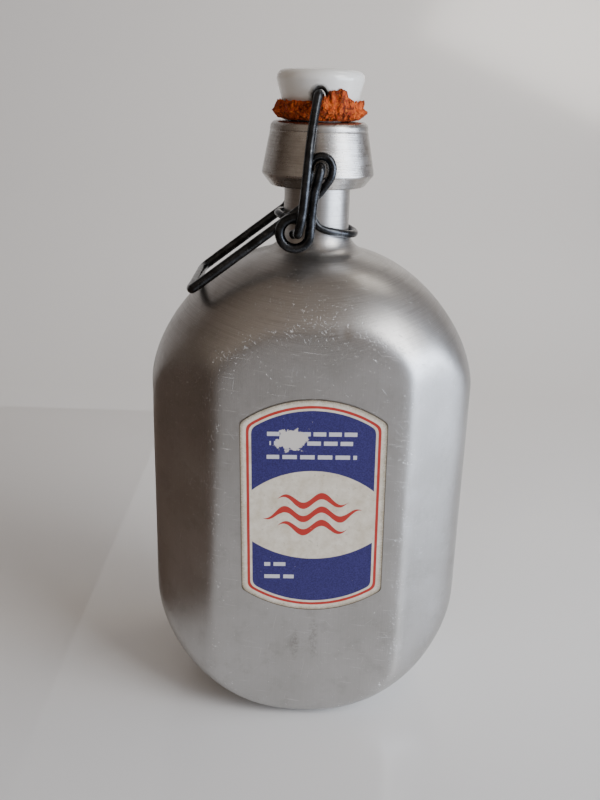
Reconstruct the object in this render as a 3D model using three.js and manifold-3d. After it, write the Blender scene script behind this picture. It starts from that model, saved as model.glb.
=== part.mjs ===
// A one-litre flat-sided aluminium field flask with a wire-and-porcelain swing stopper.
// Millimetres, +Z up. The origin is at the middle of the base, on the neck's axis.
// -Y is the front, which carries the paper label.
import * as THREE from 'three';
import { mergeVertices } from 'three/addons/utils/BufferGeometryUtils.js';
import Module from 'manifold-3d';

const wasm = await Module();
wasm.setup();

// ---- Driving dimensions -------------------------------------------------------------------

const flask = {
  halfWidth: 59,
  halfDepth: 36.5,
  faceHalfWidth: 34.4, // the flat front and back faces end here
  facetLean: 51, // degrees from +X to the normal of the sloping side facets
  roundHalfDepth: 45, // half depth of the oval that rounds the sides and the shoulder
  ovalPower: 2.3,
  edgeSharpness: 48, // higher makes the edges between the faces tighter
  baseRoll: 43.5, // height of the big rounded bottom corners
  baseHalfWidth: 14.6,
  baseHalfDepth: 26,
  baseDish: 20.5, // height over which the oval draws in towards the base, front and back
  baseFillet: 5.8, // along the foot of the front and back faces
  shoulderStart: 127,
  shoulderTop: 175, // where the shoulder's dome would meet the neck without a fillet
  shoulderPower: 1.69,
  neckRadius: 11.5,
  neckFillet: 9,
  filletStart: 173.9,
  filletTop: 182.65,
  wall: 1.2,
  mouthZ: 215.4,
};

const collar = {
  bottomZ: 196.5,
  topZ: 218,
  ridgeZ: 200.9,
  bottomRadius: 16.9,
  ridgeRadius: 19.5,
  shoulderRadius: 16.8,
  shoulderZ: 215.7,
  lipRadius: 14.9,
  lipBoreRadius: 10.4,
};

const stopper = {
  plugBottomZ: 211.5,
  plugTipRadius: 6,
  plugRadius: 7.5,
  headZ: 223.5,
  headBottomRadius: 12.9,
  headRadius: 14.9,
  rimZ: 231.6,
  topZ: 235,
  holeRadius: 2,
  holeMouthRadius: 3.3,
  holeMouthDepth: 3.2,
};

const gasket = {
  boreRadius: 8,
  bottomZ: 218.35,
  seatZ: 223.15,
  tipRadius: 16.1,
  tipZ: 221.1,
  cuffZ: 224.6,
};

const label = { width: 50.7, straight: 63.6, height: 81.6, thickness: 0.25, x: 1.45, z: 89, tilt: 1 };

const wire = { leverRadius: 1.65, bailRadius: 1.5, neckRadius: 1.3, sides: 8 };

// Pivots of the swing closure, as [x, z]: all three axes run front to back.
const leverPivot = [0.6, 204.4];
const bailPivot = [-6.4, 183.2];
const stopperPivot = [-0.3, 226.3];

// Depths of the wires' planes in front of the neck; each wire repeats mirrored behind it.
const eyePlane = 21.5;
const armPlane = 21.4;
const coilPlane = 24.8;
const bailPlane = 28.2;

const coil = { x: -7.2, z: 183.4, radius: 5 };
const leverEnd = [-42.4, 162.5]; // the finger end, resting just above the shoulder
const neckRing = { radius: 13.7, z: 183.7, slope: -0.24 };

// ---- Materials ----------------------------------------------------------------------------

function material(color, roughness, metalness) {
  return new THREE.MeshStandardMaterial({ color, roughness, metalness });
}

const aluminium = material(0xa9a8a6, 0.42, 1);
const turnedAluminium = material(0xa3a19e, 0.36, 1);
const porcelain = material(0xe9e7e1, 0.15, 0);
const oldRubber = material(0xc7561a, 0.85, 0);
const darkSteel = material(0x3a3c3e, 0.38, 1);
const printedPaper = material(0x3b357c, 0.7, 0);

// ---- Helpers ------------------------------------------------------------------------------

const radians = THREE.MathUtils.degToRad;

function toSolid(geometry) {
  const bare = geometry.clone();
  bare.deleteAttribute('normal');
  bare.deleteAttribute('uv');
  const merged = mergeVertices(bare, 1e-4);
  return new wasm.Manifold(new wasm.Mesh({
    numProp: 3,
    vertProperties: new Float32Array(merged.attributes.position.array),
    triVerts: new Uint32Array(merged.index.array),
  }));
}

function fromSolid(solid) {
  const mesh = solid.getMesh();
  const geometry = new THREE.BufferGeometry();
  geometry.setAttribute('position', new THREE.BufferAttribute(mesh.vertProperties, 3));
  geometry.setIndex(new THREE.BufferAttribute(mesh.triVerts, 1));
  geometry.computeVertexNormals();
  return geometry;
}

// Turns an outline of [radius, z] points about the Z axis.
function turned(outline, segments) {
  const profile = outline.map(([radius, z]) => new THREE.Vector2(radius, z));
  const geometry = new THREE.LatheGeometry(profile, segments);
  geometry.rotateX(Math.PI / 2);
  return geometry;
}

// An arc of [radius, z] points, from one angle to another in degrees.
function arc(centreRadius, centreZ, radius, fromAngle, toAngle, steps) {
  return Array.from({ length: steps + 1 }, (_, i) => {
    const angle = radians(fromAngle + ((toAngle - fromAngle) * i) / steps);
    return [centreRadius + radius * Math.cos(angle), centreZ + radius * Math.sin(angle)];
  });
}

// A round wire along a smooth path of [x, y, z] points.
function bentWire(points, radius, stepLength) {
  const path = new THREE.CatmullRomCurve3(points.map((p) => new THREE.Vector3(...p)), false, 'centripetal');
  const section = new THREE.Shape(Array.from({ length: wire.sides }, (_, i) => {
    const angle = (2 * Math.PI * (i + 0.5)) / wire.sides;
    return new THREE.Vector2(radius * Math.cos(angle), radius * Math.sin(angle));
  }));
  const steps = Math.round(path.getLength() / stepLength);
  return new THREE.ExtrudeGeometry(section, { steps, extrudePath: path });
}

// A wire that is the same behind the neck as in front: `front` runs towards the far side.
function mirroredWire(front, radius, stepLength) {
  const back = front.map(([x, y, z]) => [x, -y, z]).reverse();
  return bentWire([...front, ...back], radius, stepLength);
}

function named(name, geometry, surface) {
  const mesh = new THREE.Mesh(geometry, surface);
  mesh.name = name;
  return mesh;
}

// ---- Flask --------------------------------------------------------------------------------

// Distance from the axis to the skin, in a direction and at a height. The skin is an oval that
// rolls in at the base and the shoulder, cut by the front and back faces and four side facets.
// `inset` moves it inwards by the wall's thickness.
function skinRadius(angle, height, inset) {
  const along = Math.abs(Math.cos(angle));
  const across = Math.abs(Math.sin(angle));
  const neck = flask.neckRadius - inset;
  const top = flask.shoulderTop - inset;

  // How far a quarter round of a given height and reach has come in at this height.
  const roundIn = (rise, reach) => {
    const below = Math.max(0, 1 - (height - inset) / (rise - inset));
    return reach * (1 - Math.sqrt(1 - below ** 2));
  };
  const rollIn = roundIn(flask.baseRoll, flask.halfWidth - inset - flask.baseHalfWidth);
  const dishIn = roundIn(flask.baseDish, flask.roundHalfDepth - inset - flask.baseHalfDepth);
  const footIn = roundIn(flask.baseFillet, flask.baseFillet - inset);

  // The spread beyond the neck: 1 at the sides, falling over the shoulder and the fillet to 0.
  let spread = 0;
  if (height < flask.filletStart - inset) {
    const high = Math.max(0, (height - flask.shoulderStart) / (top - flask.shoulderStart));
    spread = (1 - high ** flask.shoulderPower) ** (1 / flask.shoulderPower);
  } else if (height < flask.filletTop) {
    const fillet = flask.neckFillet + inset;
    const out = fillet - Math.sqrt(fillet ** 2 - (flask.filletTop - height) ** 2);
    spread = out / (flask.halfWidth - flask.neckRadius);
  }
  const width = neck + (flask.halfWidth - flask.neckRadius) * spread - rollIn;
  const depth = neck + (flask.roundHalfDepth - flask.neckRadius) * spread - dishIn;
  const ovalPower = 2 + (flask.ovalPower - 2) * Math.min(1, spread / 0.35);
  const face = flask.halfDepth - inset - footIn;
  const lean = radians(flask.facetLean);
  const facet = flask.faceHalfWidth * Math.cos(lean) + flask.halfDepth * Math.sin(lean) - inset
    - footIn * Math.sin(lean);

  const oval = ((along / width) ** ovalPower + (across / depth) ** ovalPower) ** (1 / ovalPower);
  const flat = across / face;
  const slope = (along * Math.cos(lean) + across * Math.sin(lean)) / facet;
  const power = flask.edgeSharpness;
  return (oval ** power + flat ** power + slope ** power) ** (-1 / power);
}

// Heights at which the skin is drawn, closer together where it curves.
function skinHeights(inset, rollSteps, shoulderSteps) {
  const start = flask.shoulderStart;
  const filletLow = flask.filletStart - inset;
  const roll = Array.from({ length: rollSteps + 1 }, (_, i) =>
    inset + (flask.baseRoll - inset) * (1 - Math.cos((Math.PI / 2) * (i / rollSteps))));
  const side = [0.5, 1].map((t) => flask.baseRoll + (start - flask.baseRoll) * t);
  const shoulder = Array.from({ length: shoulderSteps }, (_, i) =>
    start + (filletLow - start) * Math.sin((Math.PI / 2) * ((i + 1) / shoulderSteps)));
  const neck = [0.12, 0.35, 0.65, 1].map((t) => filletLow + (flask.filletTop - filletLow) * t);
  return [...roll, ...side, ...shoulder, ...neck, flask.mouthZ];
}

function flaskBody() {
  const around = 56;
  const outer = skinHeights(0, 10, 12).map((z) => ({ z, inset: 0 }));
  const inner = skinHeights(flask.wall, 6, 7).map((z) => ({ z, inset: flask.wall })).reverse();
  const rows = [...outer, ...inner];

  const positions = [];
  rows.forEach(({ z, inset }) => {
    for (let i = 0; i < around; i += 1) {
      const angle = (2 * Math.PI * i) / around;
      const radius = skinRadius(angle, z, inset);
      positions.push(radius * Math.cos(angle), radius * Math.sin(angle), z);
    }
  });
  const underside = rows.length * around;
  const floor = underside + 1;
  positions.push(0, 0, 0, 0, 0, flask.wall);

  const index = [];
  const lastRow = (rows.length - 1) * around;
  for (let i = 0; i < around; i += 1) {
    const next = (i + 1) % around;
    for (let row = 0; row < rows.length - 1; row += 1) {
      const [a, b] = [row * around + i, row * around + next];
      const [c, d] = [a + around, b + around];
      index.push(a, b, d, a, d, c);
    }
    index.push(underside, next, i, floor, lastRow + i, lastRow + next);
  }
  const geometry = new THREE.BufferGeometry();
  geometry.setAttribute('position', new THREE.Float32BufferAttribute(positions, 3));
  geometry.setIndex(index);
  geometry.computeVertexNormals();
  return geometry;
}

// The turned ring that is pressed on the neck and takes the gasket's thrust on its lip.
function neckCollar() {
  const bore = flask.neckRadius + 0.3;
  const lipZ = flask.mouthZ + 0.3;
  const edge = 1.2;
  return turned([
    [bore, collar.bottomZ],
    [collar.bottomRadius - edge, collar.bottomZ],
    ...arc(collar.bottomRadius - edge, collar.bottomZ + edge, edge, -90, -35, 2),
    ...arc(collar.ridgeRadius - edge, collar.ridgeZ, edge, -35, 10, 3),
    ...arc(collar.shoulderRadius - edge, collar.shoulderZ, edge, 10, 55, 3),
    [collar.lipRadius, collar.topZ - 0.2],
    [collar.lipRadius - 0.6, collar.topZ],
    [collar.lipBoreRadius, collar.topZ],
    [collar.lipBoreRadius, lipZ],
    [bore, lipZ],
    [bore, collar.bottomZ],
  ], 48);
}

// The label: straight sides between two shallow arcs, stuck on the front face.
function paperLabel() {
  const rise = (label.height - label.straight) / 2;
  const half = label.width / 2;
  const bow = (half ** 2 + rise ** 2) / (2 * rise);
  const span = Math.asin(half / bow);
  const outline = new THREE.Shape();
  outline.absarc(0, label.straight / 2 + rise - bow, bow, Math.PI / 2 - span, Math.PI / 2 + span);
  outline.absarc(0, -label.straight / 2 - rise + bow, bow, -Math.PI / 2 - span, -Math.PI / 2 + span);
  const geometry = new THREE.ExtrudeGeometry(outline, {
    depth: label.thickness, bevelEnabled: false, curveSegments: 10,
  });
  geometry.rotateZ(radians(label.tilt));
  geometry.rotateX(Math.PI / 2);
  const clearance = 0.13;
  geometry.translate(label.x, -flask.halfDepth - clearance, label.z);
  return geometry;
}

// ---- Stopper and gasket -------------------------------------------------------------------

function porcelainStopper() {
  const crown = 3;
  const body = turned([
    [0, stopper.plugBottomZ],
    [stopper.plugTipRadius - 1, stopper.plugBottomZ],
    [stopper.plugTipRadius, stopper.plugBottomZ + 1],
    [stopper.plugRadius, stopper.plugBottomZ + 5],
    [stopper.plugRadius, stopper.headZ],
    [stopper.headBottomRadius - 0.5, stopper.headZ],
    [stopper.headBottomRadius, stopper.headZ + 0.5],
    ...arc(stopper.headRadius - crown, stopper.rimZ, crown, 0, 75, 4),
    [stopper.headRadius / 2, stopper.topZ - 0.15],
    [0, stopper.topZ],
  ], 40);

  const reach = stopper.headRadius + 1;
  const mouthY = stopper.headRadius - 0.6;
  const hole = [
    [0, -reach],
    [stopper.holeMouthRadius, -reach],
    [stopper.holeMouthRadius, -mouthY],
    [stopper.holeRadius, -mouthY + stopper.holeMouthDepth],
    [stopper.holeRadius, mouthY - stopper.holeMouthDepth],
    [stopper.holeMouthRadius, mouthY],
    [stopper.holeMouthRadius, reach],
    [0, reach],
  ];
  const cut = turned(hole, 20);
  cut.rotateX(-Math.PI / 2);
  cut.translate(stopperPivot[0], 0, stopperPivot[1]);
  return fromSolid(toSolid(body).subtract(toSolid(cut)));
}

function rubberGasket() {
  return turned([
    [gasket.boreRadius, gasket.bottomZ],
    [12.8, gasket.bottomZ],
    [gasket.tipRadius - 0.6, gasket.tipZ - 0.9],
    [gasket.tipRadius, gasket.tipZ],
    [14.7, gasket.cuffZ],
    [14, gasket.cuffZ],
    [13.3, gasket.seatZ],
    [gasket.boreRadius, gasket.seatZ],
    [gasket.boreRadius, gasket.bottomZ],
  ], 40);
}

// ---- Closure wires ------------------------------------------------------------------------

// The ring round the neck, with a tall eye in front and behind for the lever's ends. Its two
// ends nearly meet on the left.
function neckWire() {
  const ringPoint = (degrees) => {
    const x = neckRing.radius * Math.cos(radians(degrees));
    const y = neckRing.radius * Math.sin(radians(degrees));
    return [x, y, neckRing.z + neckRing.slope * x];
  };
  const front = [
    ringPoint(-178.9),
    ...[-165, -150, -136, -124].map(ringPoint),
    [-5.2, -14.6, 187.1],
    [-3.1, -17.2, 190.7],
    [-0.6, -20, 194.5],
    [2.2, -21.3, 198.2],
    [4.3, -eyePlane, 201.7],
    [4.5, -eyePlane, 204.9],
    [3.1, -eyePlane, 207.2],
    [0.8, -eyePlane, 207.9],
    [-1.5, -eyePlane, 207.1],
    [-2.8, -eyePlane, 204.8],
    [-2.9, -21.3, 201.7],
    [-2.6, -19.9, 198.1],
    [-2.3, -17.2, 194.5],
    [-2, -14.7, 190.9],
    [-1.4, -13.8, 187.3],
    [0.4, -13.8, 184.3],
    ...[-77, -64, -50, -36, -22, -8].map(ringPoint),
  ];
  return mirroredWire(front, wire.neckRadius, 1.6);
}

// The lever's near half: end turned in through the eye, short limb, coil, hidden bend, arm and
// half of the finger bar.
function leverWire() {
  const [x, z] = leverPivot;
  const onCoil = (degrees) => [
    coil.x + coil.radius * Math.cos(radians(degrees)),
    -coilPlane,
    coil.z + coil.radius * Math.sin(radians(degrees)),
  ];
  const slope = (191.4 - leverEnd[1]) / (-4.6 - leverEnd[0]);
  const onArm = (armX) => [armX, -armPlane, leverEnd[1] + slope * (armX - leverEnd[0])];
  const corner = 3.4;
  const near = [
    [x, -19.6, z],
    [x, -21.4, z],
    [x, -23.3, z],
    [x - 0.1, -24.4, z - 0.8],
    [x - 0.5, -coilPlane, z - 2.6],
    [-1.1, -coilPlane, 197],
    [-1.9, -coilPlane, 190.2],
    ...[8, -20, -50, -80, -110, -140, -170, -200, -230, -260].map(onCoil),
    [-6, -24.6, 188.5],
    [-4.4, -23.9, 189.2],
    [-3.4, -22.7, 190.4],
    [-4, -21.6, 191.8],
    onArm(-6),
    ...[-9, -16, -24, -32].map(onArm),
    onArm(leverEnd[0] + corner),
    [leverEnd[0] + 0.9, -armPlane + 0.9, leverEnd[1] + 0.7],
    [leverEnd[0], -armPlane + corner, leverEnd[1]],
    [leverEnd[0], -armPlane / 2, leverEnd[1]],
  ];
  return mirroredWire(near, wire.leverRadius, 1.5);
}

// The bail's near half: hook behind the coil, pin through it, leg up beside the neck, and half
// of the pin through the stopper.
function bailWire() {
  const [hookX, hookZ] = bailPivot;
  const [pinX, pinZ] = stopperPivot;
  const near = [
    [hookX - 2.6, -21, hookZ - 1.5],
    [hookX - 0.8, -21.2, hookZ - 0.4],
    [hookX, -22.6, hookZ],
    [hookX, -25.8, hookZ],
    [hookX + 0.3, -27.7, hookZ + 0.5],
    [hookX + 0.6, -bailPlane, hookZ + 2],
    [-5, -bailPlane, 189.3],
    [-4.2, -27.8, 197.4],
    [-3.5, -26.5, 205.6],
    [-2.9, -23.8, 212.3],
    [-2, -19.9, 219.4],
    [-1.1, -17, 224.7],
    [-0.6, -15.7, 226.8],
    [pinX, -13.8, pinZ],
    [pinX, -10, pinZ],
    [pinX, -5, pinZ],
  ];
  return mirroredWire(near, wire.bailRadius, 1.6);
}

// ---- Assembly -----------------------------------------------------------------------------

const canteen = new THREE.Group();
canteen.add(
  named('flask_body', flaskBody(), aluminium),
  named('neck_collar', neckCollar(), turnedAluminium),
  named('paper_label', paperLabel(), printedPaper),
  named('neck_wire', neckWire(), darkSteel),
  named('lever', leverWire(), darkSteel),
  named('bail', bailWire(), darkSteel),
  named('stopper', porcelainStopper(), porcelain),
  named('gasket', rubberGasket(), oldRubber),
);

export default canteen;
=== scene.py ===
# Finished model of an old aluminium flask with a porcelain swing stopper.
import math
import random
from functools import partial

import bpy
import numpy as np
from mathutils import Matrix, Vector, noise


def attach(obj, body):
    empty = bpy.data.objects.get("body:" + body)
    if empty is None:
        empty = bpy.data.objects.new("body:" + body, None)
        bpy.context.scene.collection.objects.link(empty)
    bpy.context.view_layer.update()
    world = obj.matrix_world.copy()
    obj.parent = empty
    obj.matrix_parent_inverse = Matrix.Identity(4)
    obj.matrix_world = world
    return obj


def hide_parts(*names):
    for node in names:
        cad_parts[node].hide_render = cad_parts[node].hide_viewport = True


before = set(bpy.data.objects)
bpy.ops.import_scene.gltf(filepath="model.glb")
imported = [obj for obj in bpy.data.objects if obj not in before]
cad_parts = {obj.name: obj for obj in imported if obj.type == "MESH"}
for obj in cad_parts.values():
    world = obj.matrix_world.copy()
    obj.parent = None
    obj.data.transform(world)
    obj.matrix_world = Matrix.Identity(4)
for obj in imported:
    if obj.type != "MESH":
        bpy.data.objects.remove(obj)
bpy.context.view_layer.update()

mm = 0.001
print("frame loaded")


def srgb(hexColour):
    # a hex colour as linear RGBA
    channels = [int(hexColour[i:i + 2], 16) / 255 for i in (0, 2, 4)]
    linear = [c / 12.92 if c <= 0.04045 else ((c + 0.055) / 1.055) ** 2.4 for c in channels]
    return (*linear, 1.0)


def addNode(tree, kind, *values, out=None, **settings):
    # a node with its settings, and a number or a link for each of its live sockets in turn
    node = tree.nodes.new("ShaderNode" + kind)
    for key, value in settings.items():
        setattr(node, key, value)
    for socket, value in zip([s for s in node.inputs if s.enabled], values):
        if isinstance(value, bpy.types.NodeSocket):
            tree.links.new(value, socket)
        elif value is not None:
            socket.default_value = value
    return node.outputs[out] if out else next(s for s in node.outputs if s.enabled)


def startMaterial(name, **shaderValues):
    # a material, its shader, the function that adds nodes to it, and its position in millimetres
    material = bpy.data.materials.new(name)
    material.use_nodes = True
    tree = material.node_tree
    shader = tree.nodes["Principled BSDF"]
    for key, value in shaderValues.items():
        shader.inputs[key].default_value = value
    add = partial(addNode, tree)
    place = add("VectorMath", add("TexCoord", out="Object"), 1 / mm, operation="SCALE")
    return material, shader, add, place


def finishMaterial(material, shader, colour, roughness, height, depth):
    # links the patterns to the shader; `depth` is the relief's full height in millimetres
    links = material.node_tree.links
    links.new(colour, shader.inputs["Base Color"])
    if roughness:
        links.new(roughness, shader.inputs["Roughness"])
    links.new(addNode(material.node_tree, "Bump", 1.0, depth * mm, None, height), shader.inputs["Normal"])
    return material


def makePiece(name, vertices, faces, material, body, node, smoothAngle=40):
    mesh = bpy.data.meshes.new(name)
    mesh.from_pydata([tuple(v) for v in vertices], [], faces)
    mesh.validate()
    mesh.update()
    piece = bpy.data.objects.new(name, mesh)
    bpy.context.scene.collection.objects.link(piece)
    mesh.materials.append(material)
    mesh.shade_smooth()
    if smoothAngle:
        mesh.set_sharp_from_angle(angle=math.radians(smoothAngle))
    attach(piece, body)
    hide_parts(node)
    return piece


def ringFaces(rowCount, around, closed=False):
    # quads between rows of points that each go once round
    faces = []
    for row in range(rowCount if closed else rowCount - 1):
        low, high = row * around, ((row + 1) % rowCount) * around
        for i in range(around):
            j = (i + 1) % around
            faces.append((low + i, low + j, high + j, high + i))
    return faces


def arcPoints(centre, radius, fromAngle, toAngle, steps):
    angles = [math.radians(fromAngle + (toAngle - fromAngle) * i / steps) for i in range(steps + 1)]
    return [(centre[0] + radius * math.cos(a), centre[1] + radius * math.sin(a)) for a in angles]


def resample(points, step):
    # the same outline with points no further apart than `step`
    out = []
    for a, b in zip(points, points[1:]):
        count = max(1, math.ceil(math.dist(a, b) / step))
        out += [tuple(p + (q - p) * i / count for p, q in zip(a, b)) for i in range(count)]
    return out + [points[-1]]


def turnedRows(outline, around):
    # outline of (radius, z) in mm turned about Z
    return [(r * mm * math.cos(2 * math.pi * i / around), r * mm * math.sin(2 * math.pi * i / around),
             z * mm) for r, z in outline for i in range(around)]


flask = {
    "halfWidth": 59, "halfDepth": 36.5, "faceHalfWidth": 34.4, "facetLean": 51,
    "roundHalfDepth": 45, "ovalPower": 2.3, "edgeSharpness": 48,
    "baseRoll": 43.5, "baseHalfWidth": 14.6, "baseHalfDepth": 26, "baseDish": 20.5, "baseFillet": 5.8,
    "shoulderStart": 127, "shoulderTop": 175, "shoulderPower": 1.69,
    "neckRadius": 11.5, "neckFillet": 9, "filletStart": 173.9, "filletTop": 182.65,
    "wall": 1.2, "mouthZ": 215.4, "around": 480, "waveDepth": 0.14, "dents": 46, "seed": 5,
}


def skinRadius(angle, height, inset):
    # distance from the axis to the skin in mm, and how near a point is to an edge of a flat face
    f = flask
    along, across = np.abs(np.cos(angle)), np.abs(np.sin(angle))
    neck, top = f["neckRadius"] - inset, f["shoulderTop"] - inset

    def roundIn(rise, reach):
        below = max(0, 1 - (height - inset) / (rise - inset))
        return reach * (1 - math.sqrt(1 - below ** 2))

    rollIn = roundIn(f["baseRoll"], f["halfWidth"] - inset - f["baseHalfWidth"])
    dishIn = roundIn(f["baseDish"], f["roundHalfDepth"] - inset - f["baseHalfDepth"])
    footIn = roundIn(f["baseFillet"], f["baseFillet"] - inset)
    spread = 0
    if height < f["filletStart"] - inset:
        high = max(0, (height - f["shoulderStart"]) / (top - f["shoulderStart"]))
        spread = (1 - high ** f["shoulderPower"]) ** (1 / f["shoulderPower"])
    elif height < f["filletTop"]:
        fillet = f["neckFillet"] + inset
        out = fillet - math.sqrt(fillet ** 2 - (f["filletTop"] - height) ** 2)
        spread = out / (f["halfWidth"] - f["neckRadius"])
    width = neck + (f["halfWidth"] - f["neckRadius"]) * spread - rollIn
    depth = neck + (f["roundHalfDepth"] - f["neckRadius"]) * spread - dishIn
    power = 2 + (f["ovalPower"] - 2) * min(1, spread / 0.35)
    lean = math.radians(f["facetLean"])
    face = f["halfDepth"] - inset - footIn
    facet = f["faceHalfWidth"] * math.cos(lean) + (f["halfDepth"] - footIn) * math.sin(lean) - inset
    oval = ((along / width) ** power + (across / depth) ** power) ** (1 / power)
    flat = across / face
    slope = (along * math.cos(lean) + across * math.sin(lean)) / facet
    sharp = f["edgeSharpness"]
    radius = (oval ** sharp + flat ** sharp + slope ** sharp) ** (-1 / sharp)
    nearEdge = np.exp(-((flat / np.maximum(slope, oval) - 1) / 0.05) ** 2)
    return radius, nearEdge


def skinHeights(inset, rollSteps, sideSteps, shoulderSteps, neckSteps):
    f = flask
    quarter = math.pi / 2
    start, filletLow = f["shoulderStart"], f["filletStart"] - inset
    heights = [inset + (f["baseRoll"] - inset) * (1 - math.cos(quarter * i / rollSteps))
               for i in range(rollSteps + 1)]
    heights += [f["baseRoll"] + (start - f["baseRoll"]) * (i + 1) / sideSteps for i in range(sideSteps)]
    heights += [start + (filletLow - start) * math.sin(quarter * (i + 1) / shoulderSteps)
                for i in range(shoulderSteps)]
    heights += [filletLow + (f["filletTop"] - filletLow) * ((i + 1) / neckSteps) ** 1.6
                for i in range(neckSteps)]
    heights += [f["filletTop"] + (f["mouthZ"] - f["filletTop"]) * (i + 1) / neckSteps
                for i in range(neckSteps)]
    return heights


def flaskDents():
    # knocks from use, mostly along the edges of the faces: place, width and depth in mm
    rng = random.Random(flask["seed"])
    dents = []
    for _ in range(flask["dents"]):
        side = rng.choice((-1, 1))
        x = rng.uniform(-50, 50) if rng.random() < 0.4 else rng.choice((-1, 1)) * rng.gauss(35, 3)
        z = rng.uniform(8, 165)
        dents.append(((x, side * flask["halfDepth"], z), rng.uniform(1.6, 5), rng.uniform(0.05, 0.2)))
    return dents


def flaskShell(material):
    around = flask["around"]
    angle = np.linspace(0, 2 * math.pi, around, endpoint=False)
    outer = [(z, 0) for z in skinHeights(0, 34, 60, 50, 16)]
    rows = outer + [(z, flask["wall"]) for z in reversed(skinHeights(flask["wall"], 14, 8, 16, 6))]
    points, wear = [], []
    for z, inset in rows:
        radius, nearEdge = skinRadius(angle, z, inset)
        points.append(np.stack([radius * np.cos(angle), radius * np.sin(angle), np.full(around, z)], 1))
        wear.append(nearEdge * (inset == 0))
    points, wear = np.concatenate(points), np.concatenate(wear)
    outerCount = len(outer) * around

    # pressed sheet is never quite true: slow waves, then dents, both pushed in along the radius
    outward = points * (1, 1, 0)
    outward /= np.linalg.norm(outward, axis=1)[:, None]
    push = np.zeros(len(points))
    for i, (x, y, z) in enumerate(points[:outerCount]):
        fade = min((z - 6) / 12, (168 - z) / 12, 1)
        if fade > 0:
            wave = 0.5 + 0.5 * noise.noise(Vector((x / 24, y / 24, z / 30)))
            push[i] = -flask["waveDepth"] * fade * wave
    for centre, width, depth in flaskDents():
        away = np.linalg.norm(points[:outerCount] - np.array(centre), axis=1)
        push[:outerCount] -= depth * np.exp(-(away / width) ** 2)
    points += outward * push[:, None]

    faces = ringFaces(len(rows), around)
    under, floor = len(points), len(points) + 1
    last = (len(rows) - 1) * around
    for i in range(around):
        j = (i + 1) % around
        faces.append((under, j, i))
        faces.append((floor, last + i, last + j))
    points = np.concatenate([points, [[0, 0, 0], [0, 0, flask["wall"]]]])
    piece = makePiece("flask_shell", points * mm, faces, material, "flask", "flask_body",
                      None)
    rub = piece.data.attributes.new("edgeRub", "FLOAT", "POINT")
    rub.data.foreach_set("value", np.concatenate([wear, [0, 0]]).astype(np.float32))


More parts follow.
